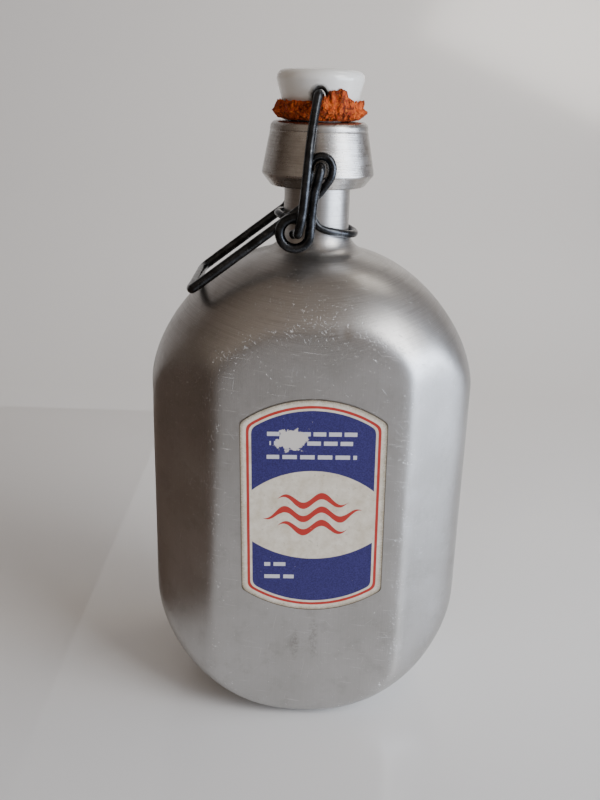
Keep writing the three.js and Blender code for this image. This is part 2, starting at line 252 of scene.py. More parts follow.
def scuffedAluminium():
    # Pressed 99.5% aluminium, spun at the shoulder and carried for decades: a soft grey satin with
    # fine scratches every way, bright nicks on the edges of the flat faces and dull cloudy stains.
    material, shader, add, place = startMaterial("scuffedAluminium", Metallic=1.0)
    cloud = add("TexNoise", place, 1 / 26, 4.0, 0.55)
    stain = add("MapRange", add("TexNoise", place, 1 / 9, 5.0, 0.7), 0.52, 0.75, 0.0, 1.0)
    axes = add("SeparateXYZ", place).node.outputs
    shoulder = add("MapRange", axes["Z"], 138.0, 152.0, 0.0, 1.0)

    # scratches: long thin noise kept at its peaks, in four directions, each 0.3 mm wide
    scratches = None
    for turn, width, peak in ((0.12, 0.28, 0.72), (1.75, 0.3, 0.75), (-0.7, 0.26, 0.76), (0.9, 0.34, 0.77)):
        drawn = add("Mapping", place, (0, 0, 0), (0, turn, 0), (34, 6, 1), vector_type="TEXTURE")
        streak = add("MapRange", add("TexNoise", drawn, 1 / width, 1.0, 0.4), peak, peak + 0.05, 0.0, 1.0)
        scratches = add("Math", scratches, streak, operation="MAXIMUM") if scratches else streak

    # the grain runs up the faces and round the shoulder; the real lines are finer than 0.05 mm
    upGrain = add("TexNoise", add("Mapping", place, (0, 0, 0), (0, 0, 0), (1, 1, 50),
                                  vector_type="TEXTURE"), 1 / 0.3, 2.0, 0.6)
    radius = add("VectorMath", add("VectorMath", place, (1, 1, 0), operation="MULTIPLY"),
                 operation="LENGTH", out="Value")
    downSlope = add("Math", radius, axes["Z"], operation="SUBTRACT")
    ringGrain = add("TexNoise", add("CombineXYZ", downSlope, add("Math", axes["X"], 0.02,
                    operation="MULTIPLY"), 0.0), 1 / 0.4, 3.0, 0.7)
    grain = add("Mix", shoulder, upGrain, ringGrain)

    # nicks: a few everywhere, more on the shoulder, thick on the rubbed edges
    rub = add("Attribute", attribute_name="edgeRub", out="Fac")
    clump = add("MapRange", add("TexNoise", place, 1 / 7, 2.0, 0.5), 0.38, 0.6, 0.0, 0.1)
    everywhere = add("Math", shoulder, 0.03, operation="MULTIPLY")
    rub = add("Math", rub, clump, everywhere, operation="MULTIPLY_ADD")
    leaning = add("Mapping", place, (0, 0, 0), (0.2, 0.8, 0), (2.2, 1, 1), vector_type="TEXTURE")
    nick = add("Math", add("TexNoise", leaning, 1 / 0.6, 3.0, 0.7), rub, operation="ADD")
    nick = add("MapRange", nick, 0.69, 0.725, 0.0, 1.0)
    pit = add("MapRange", add("TexNoise", place, 1 / 0.5, 2.0, 0.6), 0.71, 0.77, 0.0, 1.0)

    # two old rubs low on the front, where something has worn against the face
    rubs = None
    for x, z, width, height in ((-3.6, 33, 1.7, 6.5), (3.2, 36, 1.9, 8.5)):
        spot = add("VectorMath", place, (x, 0, z), operation="SUBTRACT")
        spot = add("VectorMath", spot, (1 / width, 0, 1 / height), operation="MULTIPLY")
        reach = add("VectorMath", spot, operation="LENGTH", out="Value")
        mark = add("MapRange", reach, 0.6, 1.2, 0.5, 0.0)
        rubs = add("Math", rubs, mark, operation="MAXIMUM") if rubs else mark
    front = add("Math", axes["Y"], -30.0, operation="LESS_THAN")
    broken = add("MapRange", add("TexNoise", place, 1 / 1.4, 4.0, 0.8), 0.42, 0.6, 0.0, 1.0)
    rubs = add("Math", rubs, add("Math", front, broken, operation="MULTIPLY"), operation="MULTIPLY")

    colour = add("Mix", add("MapRange", cloud, 0.35, 0.7, 0.0, 1.0), srgb("b6b5b3"), srgb("c4c3c2"),
                 data_type="RGBA")
    for amount, strength, tint in ((stain, 0.3, "8b8780"), (rubs, 0.7, "6d655d"), (grain, 0.16, "77746f"),
                                   (scratches, 0.4, "d9d9d8"), (nick, 0.7, "ececeb"), (pit, 0.6, "45413c")):
        part = add("Math", amount, strength, operation="MULTIPLY")
        colour = add("Mix", part, colour, srgb(tint), data_type="RGBA")
    # a thin brown film on the shoulder and neck, over the dark lines of the spinning
    film = add("Math", shoulder, add("MapRange", cloud, 0.35, 0.6, 0.0, 0.32), operation="MULTIPLY")
    colour = add("Mix", film, colour, srgb("8d8379"), data_type="RGBA")
    lines = add("MapRange", ringGrain, 0.45, 0.62, 0.0, 0.2)
    colour = add("Mix", add("Math", shoulder, lines, operation="MULTIPLY"), colour, srgb("5f5953"),
                 data_type="RGBA")
    rough = add("MapRange", cloud, 0.3, 0.7, 0.3, 0.38)
    rough = add("Math", add("Math", stain, rubs, operation="ADD"), 0.1, rough, operation="MULTIPLY_ADD")
    height = add("Math", grain, 0.35, add("Math", scratches, -0.6, operation="MULTIPLY"),
                 operation="MULTIPLY_ADD")
    height = add("Math", height, add("Math", nick, pit, operation="MAXIMUM"), operation="SUBTRACT")
    return finishMaterial(material, shader, colour, rough, height, 0.04)


flaskShell(scuffedAluminium())
print("flask made")


collar = {
    "bore": 11.8, "bottomZ": 196.5, "topZ": 218, "ridgeZ": 200.9, "bottomRadius": 16.9,
    "ridgeRadius": 19.5, "shoulderRadius": 16.8, "grooveZ": 215.0,
    "lipBore": 10.4, "lipUnderZ": 215.7, "around": 256, "toolStep": 0.55, "toolDepth": 0.016,
}


def collarOutline():
    # chamfered foot, rounded ridge, slow taper, a fine groove and the rounded lip
    c = collar
    edge = 1.2
    outside = [(c["bottomRadius"] - edge, c["bottomZ"])]
    outside += arcPoints((c["bottomRadius"] - edge, c["bottomZ"] + edge), edge, -90, -35, 6)
    outside += arcPoints((c["ridgeRadius"] - edge, c["ridgeZ"]), edge, -35, 9, 8)
    groove = c["shoulderRadius"] + 0.1
    outside += [(groove, c["grooveZ"] - 0.3), (groove - 0.16, c["grooveZ"] - 0.1),
                (groove - 0.16, c["grooveZ"] + 0.1), (groove, c["grooveZ"] + 0.3)]
    lip = 1.9
    outside += arcPoints((c["shoulderRadius"] - lip, c["topZ"] - lip - 0.1), lip, 0, 84, 12)
    outside += [(c["lipBore"] + 0.5, c["topZ"])]
    outside += arcPoints((c["lipBore"] + 0.5, c["topZ"] - 0.5), 0.5, 90, 180, 4)
    inside = [(c["lipBore"], c["lipUnderZ"]), (c["bore"], c["lipUnderZ"]), (c["bore"], c["bottomZ"])]
    return resample(outside, 0.14) + inside


def turnedCollar(material):
    outline = []
    for r, z in collarOutline():
        onCone = collar["ridgeZ"] + 0.8 < z < collar["grooveZ"] - 0.6 and r > collar["shoulderRadius"]
        # tool marks, coarser than the real ones so that they show
        mark = collar["toolDepth"] * math.sin(2 * math.pi * z / collar["toolStep"]) if onCone else 0
        outline.append((r + mark, z))
    around = collar["around"]
    makePiece("turned_collar", turnedRows(outline, around), ringFaces(len(outline), around, True),
              material, "flask", "neck_collar", 50)


def turnedAluminium():
    # Lathe-turned aluminium: rings of fine tool lines that draw highlights out up and down, a few
    # dings, and grey oxide in the marks.
    material, shader, add, place = startMaterial("turnedAluminium", Metallic=1.0)
    rings = add("Mapping", place, (0, 0, 0), (0, 0, 0), (60, 60, 1), vector_type="TEXTURE")
    ring = add("TexNoise", rings, 1 / 0.25, 3.0, 0.7)
    cloud = add("TexNoise", place, 1 / 7, 4.0, 0.65)
    nick = add("MapRange", add("TexNoise", place, 1 / 0.8, 3.0, 0.7), 0.7, 0.74, 0.0, 1.0)
    colour = add("Mix", add("MapRange", cloud, 0.3, 0.7, 0.0, 1.0), srgb("a19c96"), srgb("c3c2c0"),
                 data_type="RGBA")
    for amount, strength, tint in ((add("MapRange", ring, 0.5, 0.7, 0.0, 1.0), 0.6, "6d6863"),
                                   (nick, 0.6, "5a5752")):
        part = add("Math", amount, strength, operation="MULTIPLY")
        colour = add("Mix", part, colour, srgb(tint), data_type="RGBA")
    rough = add("MapRange", cloud, 0.3, 0.7, 0.22, 0.31)
    height = add("Math", ring, nick, operation="SUBTRACT")
    return finishMaterial(material, shader, colour, rough, height, 0.05)


turnedCollar(turnedAluminium())
print("collar made")


pivots = {"lever": (0.6, 204.4), "bail": (-6.4, 183.2), "stopper": (-0.3, 226.3)}
planes = {"eye": 21.5, "arm": 21.4, "coil": 24.8, "bail": 28.2}
coil = {"x": -7.2, "z": 183.4, "radius": 5}
leverEnd = (-42.4, 162.5)
neckRing = {"radius": 13.7, "z": 183.7, "slope": -0.24}
wires = {"leverRadius": 1.65, "bailRadius": 1.5, "neckRadius": 1.3, "step": 0.45, "sides": 22}


def mirrored(front):
    return front + [(x, -y, z) for x, y, z in reversed(front)]


def neckWireRoute():
    def ring(degrees):
        x = neckRing["radius"] * math.cos(math.radians(degrees))
        y = neckRing["radius"] * math.sin(math.radians(degrees))
        return (x, y, neckRing["z"] + neckRing["slope"] * x)
    eye = planes["eye"]
    front = [ring(a) for a in (-178.9, -165, -150, -136, -124)]
    front += [(-5.2, -14.6, 187.1), (-3.1, -17.2, 190.7), (-0.6, -20, 194.5), (2.2, -21.3, 198.2),
              (4.3, -eye, 201.7), (4.5, -eye, 204.9), (3.1, -eye, 207.2), (0.8, -eye, 207.9),
              (-1.5, -eye, 207.1), (-2.8, -eye, 204.8), (-2.9, -21.3, 201.7), (-2.6, -19.9, 198.1),
              (-2.3, -17.2, 194.5), (-2, -14.7, 190.9), (-1.4, -13.8, 187.3), (0.4, -13.8, 184.3)]
    front += [ring(a) for a in (-77, -64, -50, -36, -22, -8)]
    return mirrored(front)


def leverRoute():
    x, z = pivots["lever"]
    out, arm = planes["coil"], planes["arm"]

    def onCoil(degrees):
        a = math.radians(degrees)
        return (coil["x"] + coil["radius"] * math.cos(a), -out, coil["z"] + coil["radius"] * math.sin(a))
    slope = (191.4 - leverEnd[1]) / (-4.6 - leverEnd[0])

    def onArm(armX):
        return (armX, -arm, leverEnd[1] + slope * (armX - leverEnd[0]))
    corner = 3.4
    front = [(x, -19.6, z), (x, -21.4, z), (x, -23.3, z), (x - 0.1, -24.4, z - 0.8),
             (x - 0.5, -out, z - 2.6), (-1.1, -out, 197), (-1.9, -out, 190.2)]
    front += [onCoil(a) for a in (8, -20, -50, -80, -110, -140, -170, -200, -230, -260)]
    front += [(-6, -24.6, 188.5), (-4.4, -23.9, 189.2), (-3.4, -22.7, 190.4), (-4, -21.6, 191.8)]
    front += [onArm(a) for a in (-6, -9, -16, -24, -32, leverEnd[0] + corner)]
    front += [(leverEnd[0] + 0.9, -arm + 0.9, leverEnd[1] + 0.7),
              (leverEnd[0], -arm + corner, leverEnd[1]), (leverEnd[0], -arm / 2, leverEnd[1])]
    return mirrored(front)


def bailRoute():
    (hookX, hookZ), (pinX, pinZ), out = pivots["bail"], pivots["stopper"], planes["bail"]
    front = [(hookX - 2.6, -21, hookZ - 1.5), (hookX - 0.8, -21.2, hookZ - 0.4), (hookX, -22.6, hookZ),
             (hookX, -25.8, hookZ), (hookX + 0.3, -27.7, hookZ + 0.5), (hookX + 0.6, -out, hookZ + 2),
             (-5, -out, 189.3), (-4.2, -27.8, 197.4), (-3.5, -26.5, 205.6), (-2.9, -23.8, 212.3),
             (-2, -19.9, 219.4), (-1.1, -17, 224.7), (-0.6, -15.7, 226.8),
             (pinX, -13.8, pinZ), (pinX, -10, pinZ), (pinX, -5, pinZ)]
    return mirrored(front)


def smoothRoute(points, step):
    # centripetal Catmull-Rom through the points, then evenly spaced
    p = [Vector(q) for q in points]
    p = [p[0] * 2 - p[1]] + p + [p[-1] * 2 - p[-2]]
    fine = []
    for a, b, c, d in zip(p, p[1:], p[2:], p[3:]):
        t = [0.0]
        for s, e in ((a, b), (b, c), (c, d)):
            t.append(t[-1] + math.sqrt((e - s).length))
        for i in range(24):
            u = t[1] + (t[2] - t[1]) * i / 24
            a1 = a.lerp(b, (u - t[0]) / (t[1] - t[0]))
            a2 = b.lerp(c, (u - t[1]) / (t[2] - t[1]))
            a3 = c.lerp(d, (u - t[2]) / (t[3] - t[2]))
            b1 = a1.lerp(a2, (u - t[0]) / (t[2] - t[0]))
            b2 = a2.lerp(a3, (u - t[1]) / (t[3] - t[1]))
            fine.append(b1.lerp(b2, (u - t[1]) / (t[2] - t[1])))
    fine.append(p[-2])
    lengths = np.cumsum([0] + [(b - a).length for a, b in zip(fine, fine[1:])])
    count = round(lengths[-1] / step)
    spots = np.linspace(0, lengths[-1], count + 1)
    coords = np.array([tuple(q) for q in fine])
    return [Vector(np.array([np.interp(s, lengths, coords[:, k]) for k in range(3)])) for s in spots]


def wirePiece(name, route, radius, body, node, material):
    # a round wire with rounded ends and the slight flats that bending tools leave
    path = smoothRoute(route, wires["step"])
    sides = wires["sides"]
    ends = [(math.sqrt(max(0, 1 - k * k)), k) for k in (0.97, 0.8, 0.5)]
    first, last = (path[1] - path[0]).normalized(), (path[-1] - path[-2]).normalized()
    stations = [(path[0] + first * radius * (1 - k) * 0.6, s) for s, k in ends]
    stations += [(q, 1.0) for q in path[2:-2]]
    stations += [(path[-1] - last * radius * (1 - k) * 0.6, s) for s, k in reversed(ends)]
    points = []
    side = first.orthogonal().normalized()
    for i, (q, scale) in enumerate(stations):
        ahead = stations[min(i + 1, len(stations) - 1)][0]
        behind = stations[max(i - 1, 0)][0]
        forward = (ahead - behind).normalized()
        side = (side - forward * side.dot(forward)).normalized()
        other = forward.cross(side)
        for j in range(sides):
            a = 2 * math.pi * j / sides
            out = side * math.cos(a) + other * math.sin(a)
            flat = 1 + 0.022 * noise.noise(q * 0.35 + out * 0.8)
            points.append((q + out * radius * scale * flat) * mm)
    faces = [tuple(reversed(f)) for f in ringFaces(len(stations), sides)]
    start, end = len(points), len(points) + 1
    points += [path[0] * mm, path[-1] * mm]
    lastRow = (len(stations) - 1) * sides
    for j in range(sides):
        k = (j + 1) % sides
        faces.append((start, j, k))
        faces.append((end, lastRow + k, lastRow + j))
    makePiece(name, points, faces, material, body, node, None)


def darkenedSteel():
    # Drawn spring steel wire gone dark with handling: nearly black oxide, polished through to
    # bright steel on high spots, with fine die marks and specks of rust.
    material, shader, add, place = startMaterial("darkenedSteel", Metallic=1.0)
    patch = add("TexNoise", place, 1 / 5, 4.0, 0.6)
    grain = add("TexNoise", place, 1 / 0.5, 3.0, 0.7)
    worn = add("MapRange", add("TexNoise", place, 1 / 1.3, 4.0, 0.7), 0.6, 0.72, 0.0, 1.0)
    rust = add("MapRange", add("TexNoise", place, 1 / 1.9, 4.0, 0.75), 0.62, 0.72, 0.0, 1.0)
    colour = add("Mix", add("MapRange", patch, 0.35, 0.65, 0.0, 1.0), srgb("242527"), srgb("45474a"),
                 data_type="RGBA")
    for amount, strength, tint in ((worn, 0.45, "85878a"), (rust, 0.35, "3d2b20")):
        part = add("Math", amount, strength, operation="MULTIPLY")
        colour = add("Mix", part, colour, srgb(tint), data_type="RGBA")
    rough = add("MapRange", patch, 0.3, 0.7, 0.2, 0.32)
    rough = add("Math", rust, 0.25, rough, operation="MULTIPLY_ADD")
    return finishMaterial(material, shader, colour, rough, grain, 0.03)


steel = darkenedSteel()
wirePiece("neck_wire_bent", neckWireRoute(), wires["neckRadius"], "neck_ring", "neck_wire", steel)
wirePiece("lever_bent", leverRoute(), wires["leverRadius"], "lever", "lever", steel)
wirePiece("bail_bent", bailRoute(), wires["bailRadius"], "bail", "bail", steel)
print("wires made")


stopper = {
    "plugBottomZ": 211.5, "plugTipRadius": 6, "plugRadius": 7.5, "headZ": 223.5,
    "headBottomRadius": 12.9, "headRadius": 14.9, "rimZ": 231.6, "topZ": 235, "crown": 3,
    "holeRadius": 2, "holeMouthRadius": 3.3, "holeMouthDepth": 3.2, "around": 160,
}


def porcelainBody(material):
    s = stopper
    outline = [(0.02, s["plugBottomZ"])]
    outline += arcPoints((s["plugTipRadius"] - 1, s["plugBottomZ"] + 1), 1, -90, -10, 5)
    outline += [(s["plugRadius"] - 0.1, s["plugBottomZ"] + 5), (s["plugRadius"], s["plugBottomZ"] + 6),
                (s["plugRadius"], s["headZ"] - 0.3), (s["plugRadius"] + 0.3, s["headZ"])]
    outline += arcPoints((s["headBottomRadius"] - 0.6, s["headZ"] + 0.6), 0.6, -90, -12, 5)
    outline += arcPoints((s["headRadius"] - s["crown"], s["rimZ"]), s["crown"], -8, 78, 14)
    outline += [(s["headRadius"] * 0.55, s["topZ"] - 0.14), (s["headRadius"] * 0.25, s["topZ"] - 0.03),
                (0.02, s["topZ"])]
    outline = resample(outline, 0.5)
    around = s["around"]
    points = turnedRows(outline, around)
    faces = ringFaces(len(outline), around)
    faces.append(tuple(reversed(range(around))))
    faces.append(tuple(range((len(outline) - 1) * around, len(outline) * around)))
    return makePiece("porcelain_stopper", points, faces, material, "stopper", "stopper",
                     None)


def boreCrossHole(piece):
    # the bail's hole, with soft flared mouths as moulded clay has
    s = stopper
    mouth = s["headRadius"] - 0.5
    flare = [(s["holeRadius"] + (s["holeMouthRadius"] - s["holeRadius"]) * t ** 2,
              mouth - s["holeMouthDepth"] * (1 - t)) for t in (0, 0.2, 0.4, 0.6, 0.8, 0.95)]
    half = flare + [(s["holeMouthRadius"] + 0.25, mouth + 0.2), (s["holeMouthRadius"] + 1.2, mouth + 1.2)]
    outline = [(0.01, -half[-1][1])] + [(r, -y) for r, y in reversed(half)] + half + [(0.01, half[-1][1])]
    around = 64
    turn = Matrix.Rotation(-math.pi / 2, 4, "X")
    x, z = pivots["stopper"]
    points = [turn @ Vector(p) + Vector((x, 0, z)) * mm for p in turnedRows(outline, around)]
    faces = ringFaces(len(outline), around)
    faces.append(tuple(reversed(range(around))))
    faces.append(tuple(range((len(outline) - 1) * around, len(outline) * around)))
    mesh = bpy.data.meshes.new("holeCutter")
    mesh.from_pydata([tuple(p) for p in points], [], faces)
    cutter = bpy.data.objects.new("holeCutter", mesh)
    bpy.context.scene.collection.objects.link(cutter)
    cut = piece.modifiers.new("hole", "BOOLEAN")
    cut.operation, cut.object, cut.solver = "DIFFERENCE", cutter, "EXACT"
    bpy.context.view_layer.update()
    made = bpy.data.meshes.new_from_object(piece.evaluated_get(bpy.context.evaluated_depsgraph_get()))
    piece.modifiers.clear()
    piece.data = made
    bpy.data.objects.remove(cutter)
    made.shade_smooth()
    made.set_sharp_from_angle(angle=math.radians(35))


def glazedPorcelain():
    # Slip-cast white porcelain under clear glaze: a wet-looking skin over a warm white, faint
    # grey rubbing where the wire bears, a few pinholes, and nearly black painted shade round both mouths of
    # the hole.
    material, shader, add, place = startMaterial("glazedPorcelain", **{
        "Roughness": 0.14, "IOR": 1.52, "Coat Weight": 0.6, "Coat Roughness": 0.05})
    warm = add("TexNoise", place, 1 / 8, 3.0, 0.5)
    grime = add("MapRange", add("TexNoise", place, 1 / 2.2, 5.0, 0.75), 0.56, 0.72, 0.0, 0.16)
    speck = add("MapRange", add("TexNoise", place, 1 / 0.5, 2.0, 0.5), 0.75, 0.79, 0.0, 0.6)
    colour = add("Mix", warm, srgb("eeede9"), srgb("e0ded7"), data_type="RGBA")
    colour = add("Mix", grime, colour, srgb("a89e8c"), data_type="RGBA")
    colour = add("Mix", speck, colour, srgb("6d655a"), data_type="RGBA")
    # painted shade: nearly black round both mouths of the hole, standing in for the shadow inside its recess
    x, z = pivots["stopper"]
    away = add("VectorMath", place, (x, 0, z), operation="SUBTRACT")
    away = add("VectorMath", add("VectorMath", away, (1, 0, 1), operation="MULTIPLY"),
               operation="LENGTH", out="Value")
    ragged = add("MapRange", add("TexNoise", place, 1 / 1.5, 3.0, 0.6), 0.0, 1.0, -0.7, 0.7)
    away = add("Math", away, ragged, operation="ADD")
    # painted shade: darkest next to the hole's axis, fading out by 4 mm, with a ragged edge
    paintedHoleShade = add("MapRange", away, 2.7, 4.0, 0.93, 0.0)
    colour = add("Mix", paintedHoleShade, colour, srgb("2e2822"), data_type="RGBA")
    return finishMaterial(material, shader, colour, None, add("TexNoise", place, 1 / 3, 2.0, 0.5), 0.06)


boreCrossHole(porcelainBody(glazedPorcelain()))
print("stopper made")


gasket = {
    "bore": 8, "bottomZ": 218.35, "seatZ": 223.15, "tipRadius": 16.3, "tipZ": 221.1, "cuffZ": 224.5,
    "around": 480, "crumble": 0.75, "humpAngle": -66, "humpWidth": 20, "humpHeight": 3.6, "seed": 11,
}


def gasketRing(material):
    # the ring has swollen, cracked and crumbled: its outer edge is ragged, and at one place a
    # flap has pushed up round the stopper
    g = gasket
    outline = [(g["bore"], g["bottomZ"]), (12.4, g["bottomZ"]), (14, g["bottomZ"] + 0.7)]
    outline += [(g["tipRadius"] - 1.0, g["tipZ"] - 0.9), (g["tipRadius"], g["tipZ"]),
                (g["tipRadius"] - 1.1, g["tipZ"] + 1.0), (14.8, g["cuffZ"] - 0.4), (14.5, g["cuffZ"]),
                (14, g["cuffZ"] - 0.3), (13.35, g["seatZ"]), (g["bore"], g["seatZ"])]
    outline = resample(outline, 0.26)
    points = []
    for r, z in outline:
        outer = min(max((r - 12.4) / 1.6, 0), 1)
        for i in range(g["around"]):
            a = 2 * math.pi * i / g["around"]
            spot = Vector((r * math.cos(a), r * math.sin(a), z + g["seed"]))
            folds = noise.noise(Vector((spot.x / 1.5, spot.y / 1.5, z / 4))) * 0.8
            lump = folds + noise.noise(spot / 2.8) * 0.6 + noise.noise(spot / 0.8) * 0.4
            lump += noise.noise(spot / 0.4) * 0.22
            split = abs(noise.noise(Vector((spot.x / 3.4, spot.y / 3.4, z / 5 + 4))))
            away = (math.degrees(a) - g["humpAngle"] + 180) % 360 - 180
            hump = g["humpHeight"] * math.exp(-(away / g["humpWidth"]) ** 4)
            edge = outer * g["crumble"]
            radial = r + edge * (min(lump, 0.75) - 0.15 - 0.9 * math.exp(-(split / 0.05) ** 2))
            lift = max(0, (z - g["tipZ"]) / (g["cuffZ"] - g["tipZ"])) * outer
            up = z + edge * 0.9 * noise.noise(spot / 1.2 + Vector((7, 3, 1))) + lift * (hump + lump * 0.5)
            if z > g["tipZ"] and outer:
                radial = max(radial, 13.3 + (up - g["seatZ"]) * 0.22)
            up = max(up, g["bottomZ"] - 0.1)
            points.append((radial * mm * math.cos(a), radial * mm * math.sin(a), up * mm))
    makePiece("gasket_perished", points, ringFaces(len(outline), g["around"], True), material,
              "stopper", "gasket", None)


def perishedRubber():
    # Natural red rubber perished in the sun: a dry chalky orange skin, crumbling open along
    # ragged cracks that show dark brick red inside.
    material, shader, add, place = startMaterial("perishedRubber", **{
        "Roughness": 0.75, "Specular IOR Level": 0.35})
    patch = add("TexNoise", place, 1 / 5, 4.0, 0.65)
    crumb = add("TexNoise", place, 1 / 0.8, 5.0, 0.75)
    drawn = add("Mapping", place, (0, 0, 0), (0.3, 0, 0.2), (1, 1, 2.2), vector_type="TEXTURE")
    crack = add("TexNoise", drawn, 1 / 2.4, 4.0, 0.6)
    crack = add("Math", add("Math", crack, 0.5, operation="SUBTRACT"), operation="ABSOLUTE")
    crack = add("MapRange", crack, 0.0, 0.035, 1.0, 0.0)
    colour = add("Mix", add("MapRange", patch, 0.38, 0.62, 0.0, 1.0), srgb("c9510d"), srgb("9c3409"),
                 data_type="RGBA")
    for amount, tint in ((add("MapRange", crumb, 0.5, 0.72, 0.0, 0.85), "ee8a20"),
                         (add("MapRange", crumb, 0.3, 0.46, 0.7, 0.0), "5c1c07"),
                         (add("Math", crack, 0.8, operation="MULTIPLY"), "471405")):
        colour = add("Mix", amount, colour, srgb(tint), data_type="RGBA")
    height = add("Math", crack, -0.9, crumb, operation="MULTIPLY_ADD")
    return finishMaterial(material, shader, colour, None, height, 0.4)


gasketRing(perishedRubber())
print("gasket made")


label = {
    "width": 50.7, "straight": 64.6, "height": 81.6, "x": 1.45, "z": 89.0, "tilt": 1, "cornerRadius": 2.4,
    "thickness": 0.16, "redLine": (2.2, 3.2), "field": 4.0,
    "lens": {"halfWidth": 21.3, "topApex": 14.6, "bottomApex": -19.6, "topRise": 7.5, "bottomRise": 6.7},
    "tornSpot": (-7.4, 26.0), "tornRadius": 5.4,
}


def arcBow(half, rise):
    # the radius of an arc from its half width and rise
    return (half ** 2 + rise ** 2) / (2 * rise)


def labelOutline():
    half, rise = label["width"] / 2, (label["height"] - label["straight"]) / 2
    bow = arcBow(half, rise)
    centre = label["straight"] / 2 + rise - bow
    corner = label["cornerRadius"]
    # the corner's centre is `corner` inside both the side and the arc
    x = half - corner
    z = centre + math.sqrt((bow - corner) ** 2 - x ** 2)
    meet = math.degrees(math.atan2(z - centre, x))
    right = arcPoints((x, z), corner, 0, meet, 8)
    top = arcPoints((0, centre), bow, meet, 180 - meet, 60)
    left = [(-px, pz) for px, pz in reversed(right)]
    upper = right + top[1:-1] + left
    return upper + [(-px, -pz) for px, pz in upper]


def labelSheet(material):
    # paper cut to the outline, with a few creases and an edge that lifts a little from the metal
    outline = labelOutline()
    rings = [1.0, 0.995, 0.98, 0.95, 0.9, 0.82, 0.7, 0.55, 0.4, 0.25, 0.1]
    count = len(outline)
    front = []
    for k, ring in enumerate(rings):
        for px, pz in outline:
            u, v = px * ring, pz * ring
            lift = 0.05 * (ring > 0.94) * (0.5 + noise.noise(Vector((u / 9, v / 9, 2))))
            wrinkle = 0.02 * noise.noise(Vector((u / 5, v / 5, 9)))
            front.append((u, -label["thickness"] - max(0, lift + wrinkle), v))
    back = [(u, 0, v) for u, v in outline]
    points = front + [(0, -label["thickness"], 0)] + back + [(0, 0, 0)]
    faces = [tuple(reversed(f)) for f in ringFaces(len(rings), count)]
    centre = len(rings) * count
    backStart, backCentre = centre + 1, centre + 1 + count
    inner = (len(rings) - 1) * count
    for i in range(count):
        j = (i + 1) % count
        faces.append((inner + i, inner + j, centre))
        faces.append((backStart + i, i, j, backStart + j)[::-1])
        faces.append((backCentre, backStart + j, backStart + i))
    faces = [f[::-1] for f in faces]
    piece = makePiece("printed_label", [Vector(p) * mm for p in points], faces, material, "flask",
                      "paper_label", 30)
    face = -flask["halfDepth"] * mm
    piece.matrix_world = (Matrix.Translation((label["x"] * mm, face - 0.1 * mm, label["z"] * mm))
                          @ Matrix.Rotation(math.radians(-label["tilt"]), 4, "Y"))


def outsideArc(add, u, v, half, rise, apex, up):
    # distance in mm outside a shallow arc that is `half` wide, from its rise and its apex
    bow = arcBow(half, rise)
    centre = apex - bow if up else apex + bow
    across = add("CombineXYZ", u, add("Math", v, centre, operation="SUBTRACT"), 0.0)
    length = add("VectorMath", across, operation="LENGTH", out="Value")
    return add("Math", length, bow, operation="SUBTRACT")


